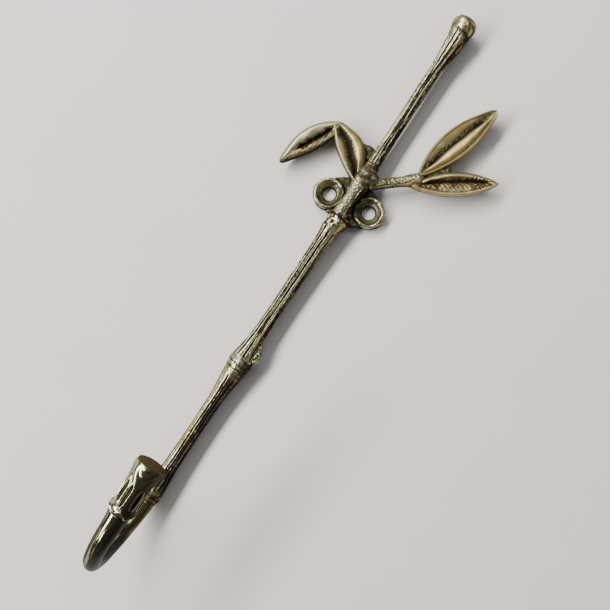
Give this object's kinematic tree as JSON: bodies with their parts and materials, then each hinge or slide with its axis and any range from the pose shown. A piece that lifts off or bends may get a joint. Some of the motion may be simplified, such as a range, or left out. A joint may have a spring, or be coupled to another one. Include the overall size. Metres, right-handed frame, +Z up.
{
  "type": "wall hook",
  "caption": "Cast brass wall hook shaped like a jointed bamboo cane, ending in an upturned J hook, with paired leaves and two countersunk screw lugs.",
  "frame": {"origin": "midway between the centres of the two screw holes, on the wall plane", "axes": "+Z up along the stem, -Y out of the wall towards the room, +X to the right of someone facing the hook"},
  "size_m": [0.0621, 0.0444, 0.1985],
  "materials": {
    "cane_brass": "cast, worn bright on the ridges with dark patina in the grooves",
    "bright_brass": "polished by use, thin dark patina",
    "leaf_brass": "cast, bright rims with a dark midrib",
    "dark_brass": "rough casting, mostly dark patina"
  },
  "bodies": {
    "root": {"stem_top_knob": "cane_brass", "upper_stem": "cane_brass", "lug_stem": "cane_brass", "upper_node": "cane_brass", "middle_stem": "cane_brass", "bud_node": "cane_brass", "bud_scar": "cane_brass", "lower_stem": "cane_brass", "lower_node": "cane_brass", "hook_bend": "bright_brass", "hook_node": "cane_brass", "hook_arm": "cane_brass", "hook_tip": "cane_brass", "twig_boss": "dark_brass", "left_screw_lug": "dark_brass", "right_screw_lug": "dark_brass", "lug_web": "dark_brass", "right_twig": "cane_brass", "left_inner_leaf": "leaf_brass", "left_outer_leaf": "leaf_brass", "right_large_leaf": "leaf_brass", "right_small_leaf": "leaf_brass", "left_web": "dark_brass", "right_web": "dark_brass"}
  },
  "joints": []
}
